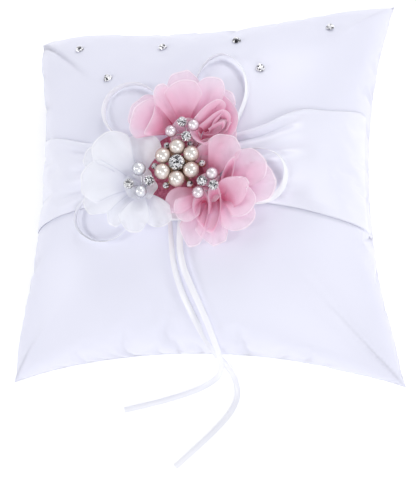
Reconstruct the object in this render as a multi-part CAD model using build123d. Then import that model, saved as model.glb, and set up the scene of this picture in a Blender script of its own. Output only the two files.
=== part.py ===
from build123d import *
import math
import os

# Ring bearer pillow: a stuffed square satin pillow that lies flat on a table.  A wide satin
# sash crosses it from side seam to side seam.  On the sash sit three chiffon flowers round
# a pearl brooch, four ribbon loops and two loose ribbon tails that tie the rings on.
# Millimetres, +Z up, origin under the pillow's middle on the table.  +Y is the edge with
# the flat-back stones, and the tails hang over the -Y edge.

# --- Driving dimensions: the pillow ---
TIP_HALF = 100.0          # middle to a corner tip, along X and along Y
SIDE_PULL = 15.0          # how far stuffing draws the middle of a side inwards
SEAM_Z = 22.0             # height of the seam above the table
CROWN = 48.0              # rise of the upper panel above the seam
BELLY = 30.0              # drop the lower panel would have, had the table not flattened it
FULLNESS = 0.43           # power that rounds the crown: smaller is plumper
SATIN = 0.5               # cover cloth with its lining
FILL_GAP = 0.2            # between the filling and the cover

# --- Driving dimensions: the sash ---
SASH_LIFT = 0.4           # under the sash, over the cover
SASH_CLOTH = 0.8
SASH_HALF_WIDTH = 30.0    # at the side seams
SASH_NECK_HALF = 13.0     # where it is gathered under the flowers
SASH_NECK_Y = -4.0

# --- Driving dimensions: the flower group ---
GROUP_X, GROUP_Y = 0.9, -6.1          # axis of the brooch
FELT_RADIUS, FELT_THICKNESS = 18.0, 1.2
FELT_Z = 71.3
PETAL_INNER, PETAL_OUTER = 9.8, 28.0
PETALS_PER_FLOWER = 5
PETAL_PITCH = 46.0                    # degrees from one petal to the next
PETAL_GAP = 2.0                       # degrees
BEAD_Z = 83.0                         # centres of the small beads in the flowers
CELL_GAP = 0.5                        # between neighbouring flowers

# --- Driving dimensions: beads and stones ---
PEARL_RADIUS = 3.7
PEARL_RING = 7.6
PEARL_Z = 81.6
PLATE_Z, PLATE_THICKNESS = 77.0, 0.8
SMALL_PEARL, LARGE_PEARL = 2.8, 3.2
PAVE_BEAD = 2.4
STONE_RADIUS, STONE_HEIGHT = 2.35, 1.5
GLUE = 0.1                # under each stone on the cover
EDGE_STONE_RING, EDGE_STONE_RADIUS = 11.0, 1.5
PEG_RADIUS, HOLE_RADIUS = 0.4, 0.5

# --- Driving dimensions: the narrow ribbon, drawn as a slim tube ---
RIBBON_TUBE = 0.8
TURN_SHARE = 0.45         # part of the shorter run that a bend may use

os.makedirs("parts", exist_ok=True)


def save(name, shape):
    export_step(shape, f"parts/{name}.step")
    print(f"{name:28s} {shape.volume:10.1f} mm3")


# --- The pillow's own shape ---
def outline(tip, side, z):
    """A square whose four sides are arcs through their middles."""
    corners = [(tip, -tip), (tip, tip), (-tip, tip), (-tip, -tip), (tip, -tip)]
    middles = [(side, 0), (0, side), (-side, 0), (0, -side)]
    sides = [ThreePointArc(corners[i], middles[i], corners[i + 1]) for i in range(4)]
    return Pos(0, 0, z) * make_face(sides)


def panel(levels, rise, swell):
    """Half a pillow, from the seam to the last level, grown by swell all over."""
    sections = []
    for level in levels:
        side = (TIP_HALF - SIDE_PULL + swell) * math.sqrt(1 - level ** (1 / FULLNESS))
        reach = math.sqrt(1 - level ** (0.5 / FULLNESS))
        tip = reach * (TIP_HALF + swell - SIDE_PULL * (1 - reach ** 2))
        sections.append(outline(tip, side, SEAM_Z + level * rise))
    return loft(sections, ruled=True)


def crown(swell):
    return panel([0, 0.12, 0.27, 0.42, 0.56, 0.69, 0.8, 0.89, 0.95, 0.985], CROWN + swell, swell)


def belly(swell):
    rise = BELLY + swell
    floor_level = (SEAM_Z + swell) / rise
    return panel([floor_level * step / 5 for step in range(6)], -rise, swell)


OUTER = crown(0)
SASH_TOP = crown(SASH_LIFT + SASH_CLOTH)


def seat(solid, x, y):
    """The plane that touches a solid from above at x, y, with its z along the normal."""
    point, normal = solid.find_intersection_points(Axis((x, y, 200), (0, 0, -1)))[0]
    if normal.Z < 0:
        normal = normal * -1
    return Plane(origin=point, z_dir=normal)


def make_pillow():
    save("cover_top", OUTER - crown(-SATIN))
    save("cover_bottom", belly(0) - belly(-SATIN))
    inside = -SATIN - FILL_GAP
    save("filling", crown(inside) + belly(inside))


def make_sash():
    """The sash keeps to the crown and narrows where it is gathered under the flowers."""
    end = TIP_HALF
    edges = []
    for sign in (1, -1):
        wide = sign * SASH_HALF_WIDTH * 1.1
        neck = SASH_NECK_Y + sign * SASH_NECK_HALF
        edges.append(ThreePointArc((-end, wide), (0, neck), (end, wide)))
    for x in (-end, end):
        edges.append(Line((x, -SASH_HALF_WIDTH * 1.1), (x, SASH_HALF_WIDTH * 1.1)))
    band = extrude(make_face(edges), CROWN * 2)
    save("satin_sash", (SASH_TOP - crown(SASH_LIFT)) & band)


# --- Loose stones on the cover ---
STONE_PLACES = [(-66.0, 76.0), (-16.7, 67.9), (21.5, 69.0), (67.8, 78.0), (-43.2, 50.0), (35.0, 48.6)]


def flat_back_stone(radius, height):
    """Girdle at the cloth, twelve facets up to a flat table."""
    girdle = RegularPolygon(radius, 12)
    table = Pos(0, 0, height) * RegularPolygon(radius * 0.55, 12, rotation=15)
    return loft([Sketch() + girdle, Sketch() + table], ruled=True)


def make_stones():
    for number, (x, y) in enumerate(STONE_PLACES, 1):
        place = Location(seat(OUTER, x, y)) * Pos(0, 0, GLUE)
        save(f"rhinestone_{number}", place * flat_back_stone(STONE_RADIUS, STONE_HEIGHT))


# --- Flowers ---
# name, axis x and y, beads as (kind, x, y)
FLOWERS = {
    "top_pink": ((3.5, 10.0), [("pearl", -2.1, 8.7), ("crystal", 2.9, 13.0),
                               ("pearl", 8.3, 11.1), ("crystal", 5.2, 5.9)]),
    "right_pink": ((15.5, -17.0), [("pearl", 17.4, -12.4), ("pearl", 11.4, -21.0),
                                   ("crystal", 13.0, -15.6), ("crystal", 18.3, -17.8)]),
    "white": ((-16.5, -14.5), [("pearl", -16.4, -8.6), ("pearl", -15.0, -19.4),
                               ("crystal", -11.2, -14.4), ("crystal", -20.8, -15.6)]),
}
FELT_TOP = FELT_Z + FELT_THICKNESS
CELL_ANGLES = {"top_pink": (22.0, 143.6), "right_pink": (-95.1, 22.0), "white": (143.6, 264.9)}


def cell(name):
    """The wedge round the brooch's axis that one flower keeps to."""
    first, last = (math.radians(angle) for angle in CELL_ANGLES[name])
    half = (first + last) / 2
    reach = 120.0
    back = CELL_GAP / math.sin((last - first) / 2)
    apex = (GROUP_X + back * math.cos(half), GROUP_Y + back * math.sin(half))
    points = [apex]
    for angle in (first, half, last):
        points.append((apex[0] + reach * math.cos(angle), apex[1] + reach * math.sin(angle)))
    return extrude(make_face(Polyline(*points, close=True)), 2 * CROWN)


def make_petals(name, axis):
    """Gathered chiffon, drawn as thick sectors that rise and then droop outwards."""
    lower = ThreePointArc((PETAL_INNER, FELT_TOP + 0.4), (19.0, 79.5), (PETAL_OUTER, 72.5))
    upper = ThreePointArc((PETAL_INNER, FELT_TOP + 5.0), (19.5, 85.0), (PETAL_OUTER + 0.5, 74.5))
    profile = make_face([lower, upper, Line(lower @ 0, upper @ 0), Line(lower @ 1, upper @ 1)])
    sector = revolve(Plane.XZ * profile, Axis.Z, PETAL_PITCH - PETAL_GAP)
    outward = math.degrees(math.atan2(axis[1] - GROUP_Y, axis[0] - GROUP_X))
    room = cell(name)
    start = outward - (PETAL_PITCH * PETALS_PER_FLOWER - PETAL_GAP) / 2
    for number in range(PETALS_PER_FLOWER):
        turn = start + number * PETAL_PITCH
        petal = (Pos(*axis, 0) * Rot(0, 0, turn) * sector) & room
        save(f"{name}_petal_{number + 1}", petal)


def drilled_bead(radius, x, y, z, depth):
    """A bead with a blind hole from below for its peg."""
    hole = Pos(0, 0, depth / 2 - radius) * Cylinder(HOLE_RADIUS, depth)
    return Pos(x, y, z) * (Sphere(radius) - hole)


def make_centre(name, axis, beads):
    """The wired cluster in a flower: a small plate on a stem, and a peg into each bead."""
    plate_z = BEAD_Z - LARGE_PEARL - 1.0
    plate = Pos(*axis, plate_z) * Cylinder(2.0, 0.6)
    stem_height = plate_z - FELT_TOP
    setting = plate + Pos(*axis, FELT_TOP + stem_height / 2) * Cylinder(1.2, stem_height)
    counts = {"pearl": 0, "crystal": 0}
    for kind, x, y in beads:
        counts[kind] += 1
        large = kind == "pearl" and name == "white" and counts[kind] == 1
        pearl_radius = LARGE_PEARL if large else SMALL_PEARL
        radius = pearl_radius if kind == "pearl" else PAVE_BEAD
        save(f"{name}_{kind}_{counts[kind]}", drilled_bead(radius, x, y, BEAD_Z, radius))
        length = math.hypot(x - axis[0], y - axis[1])
        turn = math.degrees(math.atan2(y - axis[1], x - axis[0]))
        arm = Pos(*axis, plate_z) * Rot(0, 0, turn) * Pos(length / 2, 0, 0) * Box(length, 0.8, 0.6)
        peg_height = BEAD_Z - 0.5 - plate_z
        peg = Pos(x, y, plate_z + peg_height / 2) * Cylinder(PEG_RADIUS, peg_height)
        setting = setting + arm + peg
    save(f"{name}_setting", setting)


# --- Brooch ---
def around(count, first_angle, radius):
    """Places on a ring about the brooch's axis."""
    for step in range(count):
        angle = math.radians(first_angle + 360 * step / count)
        yield GROUP_X + radius * math.cos(angle), GROUP_Y + radius * math.sin(angle)


PEARL_PLACES = list(around(6, 31, PEARL_RING))
EDGE_PLACES = list(around(6, 1, EDGE_STONE_RING))
PLATE_TOP = PLATE_Z + PLATE_THICKNESS
HUB_TOP = PEARL_Z + 1.6
EDGE_CUP_TOP = PLATE_TOP + 1.6


def make_brooch():
    middle = Pos(GROUP_X, GROUP_Y, PLATE_Z + PLATE_THICKNESS / 2)
    plate = middle * Cylinder(4.5, PLATE_THICKNESS)
    post_height = PLATE_Z - FELT_TOP
    plate = plate + Pos(GROUP_X, GROUP_Y, FELT_TOP + post_height / 2) * Cylinder(3.0, post_height)
    for step in range(12):
        reach = PEARL_RING if step % 2 else EDGE_STONE_RING
        arm = Pos(reach / 2, 0, 0) * Box(reach, 1.4, PLATE_THICKNESS)
        plate = plate + middle * Rot(0, 0, 1 + 30 * step) * arm
    peg_height = PEARL_Z - 0.5 - PLATE_TOP
    for number, (x, y) in enumerate(PEARL_PLACES, 1):
        plate = plate + Pos(x, y, PLATE_TOP + peg_height / 2) * Cylinder(PEG_RADIUS, peg_height)
        save(f"brooch_pearl_{number}", drilled_bead(PEARL_RADIUS, x, y, PEARL_Z, PEARL_RADIUS))
    for x, y in EDGE_PLACES:
        cup_height = EDGE_CUP_TOP - PLATE_TOP
        plate = plate + Pos(x, y, PLATE_TOP + cup_height / 2) * Cylinder(EDGE_STONE_RADIUS, cup_height)
    save("brooch_plate", plate)

    neck_height = HUB_TOP - PLATE_TOP - 1.2
    neck = Pos(GROUP_X, GROUP_Y, PLATE_TOP + neck_height / 2) * Cylinder(1.6, neck_height)
    cup = Pos(GROUP_X, GROUP_Y, HUB_TOP - 0.6) * Cone(1.6, 3.4, 1.2)
    save("brooch_centre_cup", neck + cup)

    stones = [Pos(GROUP_X, GROUP_Y, HUB_TOP) * flat_back_stone(1.15, 1.3)]
    for x, y in around(6, 0, 2.35):
        stones.append(Pos(x, y, HUB_TOP) * flat_back_stone(1.1, 0.9))
    save("brooch_centre_stones", Compound(children=stones))
    rim = [Pos(x, y, EDGE_CUP_TOP) * flat_back_stone(EDGE_STONE_RADIUS, 1.1) for x, y in EDGE_PLACES]
    save("brooch_rim_stones", Compound(children=rim))


# --- Narrow ribbon: four loops and two tails, as routes of straight runs and arcs ---
RIBBON_ROUTES = {
    "ribbon_loop_upper_left": [
        (-7, 15, 71.6), (-9.5, 27, 69.8), (-17, 38.5, 67), (-28, 43.5, 64.8), (-38.5, 40, 63.9),
        (-42.5, 30.5, 64.8), (-39.5, 20.5, 66.8), (-31, 12, 69.6), (-20, 7.5, 71.4)],
    "ribbon_loop_upper_right": [
        (6, 16, 71.4), (4.5, 29, 69.6), (4.5, 42, 66.7), (9, 53, 63.4), (17, 57.5, 61.8),
        (25.5, 50.5, 63.8), (30, 39, 66.2), (29.5, 25, 69), (22, 9, 71.6)],
    "ribbon_loop_right": [
        (21, 1, 71.6), (34, 3.2, 69.8), (45, 0.5, 67.2), (49.5, -7.5, 65.8), (47.5, -16.5, 66),
        (41, -22, 67), (31, -22, 69.2), (21.5, -15.5, 71.4)],
    "ribbon_loop_lower_left": [
        (-20, -9, 71.6), (-33, -11.5, 69.8), (-45, -15, 66.8), (-53, -20.5, 63.8), (-53.5, -29, 62.4),
        (-46, -36, 63), (-35, -38, 65), (-24, -32, 67.8), (-15.5, -21.5, 70.8)],
    "ribbon_tail_short": [
        (0.7, -29.9, 69.9), (-0.3, -40, 68), (0.9, -49.5, 65.4), (4.4, -58.5, 62), (8, -67, 57.4),
        (11, -75.5, 51), (12.8, -83.6, 42), (13, -89.6, 30), (10.9, -92.2, 17), (7, -95.6, 5.8),
        (-2, -100.5, 1), (-12.5, -104.4, 1), (-27, -108.6, 1), (-43.7, -112.5, 1)],
    "ribbon_tail_long": [
        (-4.4, -29.9, 69.9), (-4, -39, 68), (-3.4, -48.5, 65.2), (-1.2, -58, 61.6), (2.2, -67, 56.6),
        (6, -76.5, 48), (10.2, -85.6, 34.5), (12.2, -88.4, 20), (15.2, -94, 6.5), (17.2, -103, 1),
        (14.2, -111.5, 1), (6.5, -120.5, 1), (-4, -130.4, 1), (-15.1, -140.3, 1)],
}


def ribbon(name, points):
    """A tube along the route, each bend as wide as its two runs allow."""
    points = [Vector(*point) for point in points]
    radii = []
    for before, here, after in zip(points, points[1:], points[2:]):
        arriving, leaving = here - before, after - here
        half_turn = math.radians(arriving.get_angle(leaving)) / 2
        radii.append(TURN_SHARE * min(arriving.length, leaving.length) / math.tan(half_turn))
    route = FilletPolyline(*points, radius=radii)
    start = Plane(origin=route @ 0, z_dir=route % 0)
    tube = sweep(start * Circle(RIBBON_TUBE), path=route)
    expected = math.pi * RIBBON_TUBE ** 2 * route.length
    print(f"{name}: {route.length:.1f} mm long, tightest bend {min(radii):.1f} mm, "
          f"volume {tube.volume / expected:.3f} of section times length")
    save(name, tube)


def make_knot():
    """The stitched knot that all the ribbon leaves, under the front of the flowers."""
    knot = Pos(-1.9, -26.6, 69.7) * Box(9.0, 6.0, 2.4)
    save("ribbon_knot", fillet(knot.edges(), 0.8))


make_pillow()
make_sash()
make_stones()
save("felt_base", Pos(GROUP_X, GROUP_Y, FELT_Z + FELT_THICKNESS / 2) * Cylinder(FELT_RADIUS, FELT_THICKNESS))
for flower, (flower_axis, flower_beads) in FLOWERS.items():
    make_petals(flower, flower_axis)
    make_centre(flower, flower_axis, flower_beads)
make_brooch()
make_knot()
for ribbon_name, ribbon_points in RIBBON_ROUTES.items():
    ribbon(ribbon_name, ribbon_points)
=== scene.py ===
# %% [markdown]
# # A ring bearer pillow in satin, chiffon, ribbon and pearls
#
# The real pillow is soft nearly all over, so most of this lesson is cloth: two satin panels
# sewn into a bag and stuffed, a satin sash, chiffon petals and narrow ribbon.  The beads,
# stones and wire are hard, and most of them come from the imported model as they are.

# %% Setup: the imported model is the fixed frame
import math

import bpy
import numpy as np
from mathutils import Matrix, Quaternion, Vector
from mathutils.bvhtree import BVHTree


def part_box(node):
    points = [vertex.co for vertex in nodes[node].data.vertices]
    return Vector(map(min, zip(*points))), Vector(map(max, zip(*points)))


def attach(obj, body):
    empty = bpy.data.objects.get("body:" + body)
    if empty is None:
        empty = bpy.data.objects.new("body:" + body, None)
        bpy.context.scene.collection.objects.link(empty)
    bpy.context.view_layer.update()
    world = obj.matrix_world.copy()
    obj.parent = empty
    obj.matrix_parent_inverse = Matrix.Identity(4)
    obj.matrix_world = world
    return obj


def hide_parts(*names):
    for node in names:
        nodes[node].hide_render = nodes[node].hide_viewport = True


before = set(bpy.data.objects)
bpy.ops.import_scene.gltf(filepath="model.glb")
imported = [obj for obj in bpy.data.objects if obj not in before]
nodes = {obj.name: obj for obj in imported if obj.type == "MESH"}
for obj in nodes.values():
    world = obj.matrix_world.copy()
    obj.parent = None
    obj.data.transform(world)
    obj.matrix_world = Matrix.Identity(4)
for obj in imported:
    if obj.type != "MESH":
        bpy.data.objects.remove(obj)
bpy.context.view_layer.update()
MM = 0.001

# %% [markdown]
# ## Camera
#
# The camera looks steeply down at the pillow from its near right corner, and is rolled so
# that the pillow's sides come out upright.  It is placed by the direction it looks from and
# the distance to a point on the table, which is easier to think about than a location.

# %% Camera
VIEW_AZIMUTH, VIEW_ELEVATION, VIEW_ROLL = 39.6, 71.4, -39.6      # degrees
VIEW_DISTANCE = 0.4034
VIEW_TARGET = Vector((0.0029, -0.0266, 0.020))
LENS_MM, SENSOR_MM = 58.38, 36.0


def direction(azimuth, elevation):
    """The unit vector from the object to something at that azimuth and elevation."""
    a, e = math.radians(azimuth), math.radians(elevation)
    return Vector((math.sin(a) * math.cos(e), -math.cos(a) * math.cos(e), math.sin(e)))


def make_camera():
    back = direction(VIEW_AZIMUTH, VIEW_ELEVATION)
    bpy.ops.object.camera_add(location=VIEW_TARGET + back * VIEW_DISTANCE)
    camera = bpy.context.object
    camera.rotation_mode = "QUATERNION"
    roll = Quaternion((0, 0, 1), math.radians(VIEW_ROLL))
    camera.rotation_quaternion = (-back).to_track_quat("-Z", "Y") @ roll
    camera.data.sensor_fit = "VERTICAL"
    camera.data.sensor_height = SENSOR_MM
    camera.data.lens = LENS_MM
    bpy.context.scene.camera = camera
    return camera


camera = make_camera()
print("camera at", [round(c, 3) for c in camera.location])

# %% [markdown]
# ## Studio
#
# White satin on a white table only shows its folds if the light has a direction.  Four soft
# lamps stand round the pillow, the strongest on the far side, where it draws the edges.  A
# small one puts the bright points on the beads, and a white surround fills the rest.

# %% Lamps, floor and surround
# azimuth and elevation in degrees, distance and width in metres, power in watts
LAMPS = {"near_softbox": (20, 38, 1.1, 0.40, 2.5), "left_softbox": (-80, 36, 1.2, 0.35, 2.7),
         "far_softbox": (160, 38, 1.2, 0.45, 3.8), "right_softbox": (95, 40, 1.2, 0.45, 2.0),
         "bead_glint": (-30, 66, 0.9, 0.07, 0.8)}
SURROUND_STOPS = ((0.20, 0.95), (0.95, 0.24))       # height, from 0 level to 1 overhead, and its grey
SURROUND_TINT = (0.93, 0.94, 1.0)
SURROUND_STRENGTH = 0.85
FLOOR_SIZE, FLOOR_GLOW = 6.0, 0.25


def make_lamp(name, azimuth, elevation, distance, size, power):
    back = direction(azimuth, elevation)
    bpy.ops.object.light_add(type="AREA", location=back * distance)
    lamp = bpy.context.object
    lamp.name = name
    lamp.rotation_mode = "QUATERNION"
    lamp.rotation_quaternion = (-back).to_track_quat("-Z", "Y")
    lamp.data.size = size
    lamp.data.energy = power
    return lamp


def make_surround():
    """An even white room that is dimmer straight overhead, as it is behind a camera."""
    world = bpy.data.worlds.new("white_surround")
    bpy.context.scene.world = world
    world.use_nodes = True
    tree = world.node_tree
    height = tree.nodes.new("ShaderNodeSeparateXYZ")
    tree.links.new(tree.nodes.new("ShaderNodeTexCoord").outputs["Generated"], height.inputs[0])
    ramp = tree.nodes.new("ShaderNodeValToRGB")
    for element, (place, grey) in zip(ramp.color_ramp.elements, SURROUND_STOPS):
        element.position = place
        element.color = (*(grey * part for part in SURROUND_TINT), 1)
    tree.links.new(height.outputs["Z"], ramp.inputs["Fac"])
    tree.links.new(ramp.outputs["Color"], tree.nodes["Background"].inputs["Color"])
    tree.nodes["Background"].inputs["Strength"].default_value = SURROUND_STRENGTH


def make_studio():
    for name, facts in LAMPS.items():
        make_lamp(name, *facts)
    make_surround()
    bpy.context.scene.view_settings.view_transform = "Standard"
    bpy.ops.mesh.primitive_plane_add(size=FLOOR_SIZE, location=(0, 0, 0))
    floor = bpy.context.object
    floor.name = "studio_floor"
    material = bpy.data.materials.new("pale_floor")
    material.use_nodes = True
    shader = material.node_tree.nodes["Principled BSDF"]
    shader.inputs["Base Color"].default_value = (0.93, 0.93, 0.94, 1)
    shader.inputs["Roughness"].default_value = 0.9
    shader.inputs["Emission Color"].default_value = (1, 1, 1, 1)
    shader.inputs["Emission Strength"].default_value = FLOOR_GLOW
    floor.data.materials.append(material)


make_studio()
print("lamps:", len(LAMPS))

# %% [markdown]
# ## Effects that several finishes share
#
# A node group is built once and placed in each material with its own values.  The weave
# group draws fine threads on a cloth's own map, so they follow the cloth through its folds.
# The cloudy group gives the slow changes of tone that keep a plain colour from looking
# flat.  The facet group turns a stone's surface into patches, which the stone finishes paint as bright and
# dark reflections.

# %% A helper for node groups, and the three groups
def new_group(name, inputs, outputs):
    group = bpy.data.node_groups.new(name, "ShaderNodeTree")
    for label, kind, value in inputs:
        socket = group.interface.new_socket(label, in_out="INPUT", socket_type=kind)
        socket.default_value = value
    for label, kind in outputs:
        group.interface.new_socket(label, in_out="OUTPUT", socket_type=kind)
    entry, leave = group.nodes.new("NodeGroupInput"), group.nodes.new("NodeGroupOutput")
    return group, entry, leave


def math_node(tree, operation, *values):
    """A Math node fed by sockets or plain numbers; its output socket."""
    node = tree.nodes.new("ShaderNodeMath")
    node.operation = operation
    for socket, value in zip(node.inputs, values):
        if isinstance(value, (int, float)):
            socket.default_value = value
        else:
            tree.links.new(value, socket)
    return node.outputs[0]


def threads_group():
    """Crossing threads on the cloth's own map: a height, and a mask of the gaps."""
    group, entry, leave = new_group(
        "fine_threads", [("Threads", "NodeSocketFloat", 400.0), ("Float", "NodeSocketFloat", 1.0)],
        [("Height", "NodeSocketFloat"), ("Gaps", "NodeSocketFloat")])
    cloth_map = group.nodes.new("ShaderNodeTexCoord").outputs["UV"]
    parts = group.nodes.new("ShaderNodeSeparateXYZ")
    group.links.new(cloth_map, parts.inputs[0])
    waves = []
    for axis in (0, 1):
        turns = math_node(group, "MULTIPLY", parts.outputs[axis], entry.outputs["Threads"])
        wave = math_node(group, "SINE", math_node(group, "MULTIPLY", turns, math.tau))
        waves.append(math_node(group, "MULTIPLY_ADD", wave, 0.5, 0.5))
    warp, weft = waves
    height = math_node(group, "MAXIMUM", math_node(group, "MULTIPLY", warp, entry.outputs["Float"]), weft)
    group.links.new(height, leave.inputs["Height"])
    group.links.new(math_node(group, "MULTIPLY", warp, weft), leave.inputs["Gaps"])
    return group


def clouds_group():
    """Slow changes over the surface, from 0 to 1, fixed to the object."""
    group, entry, leave = new_group(
        "slow_clouds", [("Scale", "NodeSocketFloat", 30.0), ("Detail", "NodeSocketFloat", 2.0)],
        [("Value", "NodeSocketFloat")])
    place = group.nodes.new("ShaderNodeTexCoord").outputs["Object"]
    cloud = group.nodes.new("ShaderNodeTexNoise")
    group.links.new(place, cloud.inputs["Vector"])
    group.links.new(entry.outputs["Scale"], cloud.inputs["Scale"])
    group.links.new(entry.outputs["Detail"], cloud.inputs["Detail"])
    group.links.new(cloud.outputs["Fac"], leave.inputs["Value"])
    return group


def facets_group():
    """Small flat patches with one tone each, and the height of their edges."""
    group, entry, leave = new_group(
        "cut_facets", [("Scale", "NodeSocketFloat", 900.0)],
        [("Tone", "NodeSocketFloat"), ("Height", "NodeSocketFloat")])
    place = group.nodes.new("ShaderNodeTexCoord").outputs["Object"]
    cells = group.nodes.new("ShaderNodeTexVoronoi")
    group.links.new(place, cells.inputs["Vector"])
    group.links.new(entry.outputs["Scale"], cells.inputs["Scale"])
    tone = group.nodes.new("ShaderNodeSeparateColor")
    group.links.new(cells.outputs["Color"], tone.inputs[0])
    group.links.new(tone.outputs[0], leave.inputs["Tone"])
    group.links.new(cells.outputs["Distance"], leave.inputs["Height"])
    return group


THREADS, CLOUDS, FACETS = threads_group(), clouds_group(), facets_group()
print("groups:", [group.name for group in (THREADS, CLOUDS, FACETS)])

# %% A helper for materials
class Finish:
    """A new material with its Principled shader, and short ways to add nodes to it."""

    def __init__(self, name, **constants):
        self.material = bpy.data.materials.new(name)
        self.material.use_nodes = True
        self.tree = self.material.node_tree
        self.shader = self.tree.nodes["Principled BSDF"]
        for label, value in constants.items():
            socket = self.shader.inputs[label.replace("_", " ")]
            socket.default_value = (*value, 1) if isinstance(value, tuple) else value

    def group(self, group, **values):
        node = self.tree.nodes.new("ShaderNodeGroup")
        node.node_tree = group
        for label, value in values.items():
            node.inputs[label].default_value = value
        return node

    def ramp(self, source, stops, steady=False):
        """Colours along a value; stops are (place, (r, g, b))."""
        node = self.tree.nodes.new("ShaderNodeValToRGB")
        if steady:
            node.color_ramp.interpolation = "CONSTANT"
        while len(node.color_ramp.elements) < len(stops):
            node.color_ramp.elements.new(0.5)
        for element, (place, colour) in zip(node.color_ramp.elements, stops):
            element.position = place
            element.color = (*colour, 1)
        self.tree.links.new(source, node.inputs["Fac"])
        return node.outputs["Color"]

    def spread(self, source, low, high):
        """A value from 0 to 1 moved to the range from low to high."""
        node = self.tree.nodes.new("ShaderNodeMapRange")
        node.inputs["To Min"].default_value = low
        node.inputs["To Max"].default_value = high
        self.tree.links.new(source, node.inputs["Value"])
        return node.outputs["Result"]

    def feed(self, source, label):
        self.tree.links.new(source, self.shader.inputs[label])

    def bump(self, heights, strength, distance):
        """Bump nodes one after another, one for each height socket, into the normal."""
        normal = None
        for height in heights:
            node = self.tree.nodes.new("ShaderNodeBump")
            node.inputs["Strength"].default_value = strength
            node.inputs["Distance"].default_value = distance
            self.tree.links.new(height, node.inputs["Height"])
            if normal:
                self.tree.links.new(normal, node.inputs["Normal"])
            normal = node.outputs["Normal"]
        self.feed(normal, "Normal")
        return normal


# %% [markdown]
# ## Satin, ribbon and filling
#
# Satin is a smooth, dense weave whose long floating threads give it a soft shine.  It gets
# a middling roughness that drifts a little, a touch of sheen, and threads so fine that they
# only show close up.  The sash and the ribbon are a brighter, glossier satin.

# %% Satin finishes
def satin(name, colour, shade, roughness, threads, gloss):
    finish = Finish(name, IOR=1.45, Sheen_Weight=0.25, Sheen_Roughness=0.4, Anisotropic=0.35,
                    Coat_Weight=gloss, Coat_Roughness=0.35)
    clouds = finish.group(CLOUDS, Scale=22.0).outputs["Value"]
    finish.feed(finish.ramp(clouds, [(0.3, shade), (0.65, colour)]), "Base Color")
    finish.feed(finish.spread(clouds, roughness - 0.05, roughness + 0.07), "Roughness")
    weave = finish.group(THREADS, Threads=threads, Float=0.5).outputs["Height"]
    slubs = finish.group(CLOUDS, Scale=420.0).outputs["Value"]
    finish.bump([weave, slubs], 0.12, 0.00006)
    return finish.material


COVER_SATIN = satin("cover_satin", (0.855, 0.858, 0.965), (0.83, 0.834, 0.945), 0.42, 700.0, 0.10)
SASH_SATIN = satin("sash_satin", (0.885, 0.888, 0.985), (0.86, 0.863, 0.965), 0.32, 500.0, 0.30)


def ribbon_satin():
    """Narrow ribbon: bright, with fine ribs across and a tighter selvedge."""
    finish = Finish("narrow_ribbon", IOR=1.45, Sheen_Weight=0.3, Coat_Weight=0.35, Coat_Roughness=0.25)
    clouds = finish.group(CLOUDS, Scale=60.0).outputs["Value"]
    finish.feed(finish.ramp(clouds, [(0.3, (0.93, 0.935, 0.98)), (0.7, (0.97, 0.97, 1.0))]), "Base Color")
    finish.feed(finish.spread(clouds, 0.28, 0.42), "Roughness")
    ribs = finish.group(CLOUDS, Scale=1500.0, Detail=0.0).outputs["Value"]
    finish.bump([ribs], 0.2, 0.00005)
    return finish.material


def filling_fibre():
    finish = Finish("polyester_fill", Roughness=0.95, Sheen_Weight=0.6)
    clouds = finish.group(CLOUDS, Scale=260.0, Detail=6.0).outputs["Value"]
    finish.feed(finish.ramp(clouds, [(0.3, (0.80, 0.80, 0.81)), (0.7, (0.95, 0.95, 0.95))]), "Base Color")
    finish.bump([clouds], 0.6, 0.001)
    return finish.material


RIBBON_SATIN, FILLING_FIBRE = ribbon_satin(), filling_fibre()

# %% [markdown]
# ## Chiffon
#
# Chiffon is a crisp, sheer weave.  Light passes both round its threads and through them, so
# its material mixes a matt surface, a translucent one and plain transparency.  The map of a
# petal runs across and along it, and that is how the material knows where the petal's root
# is, where the colour is deeper, and where its narrow rolled hem is, which is the palest and
# the least sheer.  A painted shade darkens its two sides near the root, where petals meet in a crease.

# %% Chiffon finishes
HEM_START = 0.97               # where the hem begins, from 0 at the root or middle to 1 at the rim
CREASE_SHADE_SHARPNESS = 26.0        # higher keeps the painted crease shade nearer to the petal's side


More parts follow.
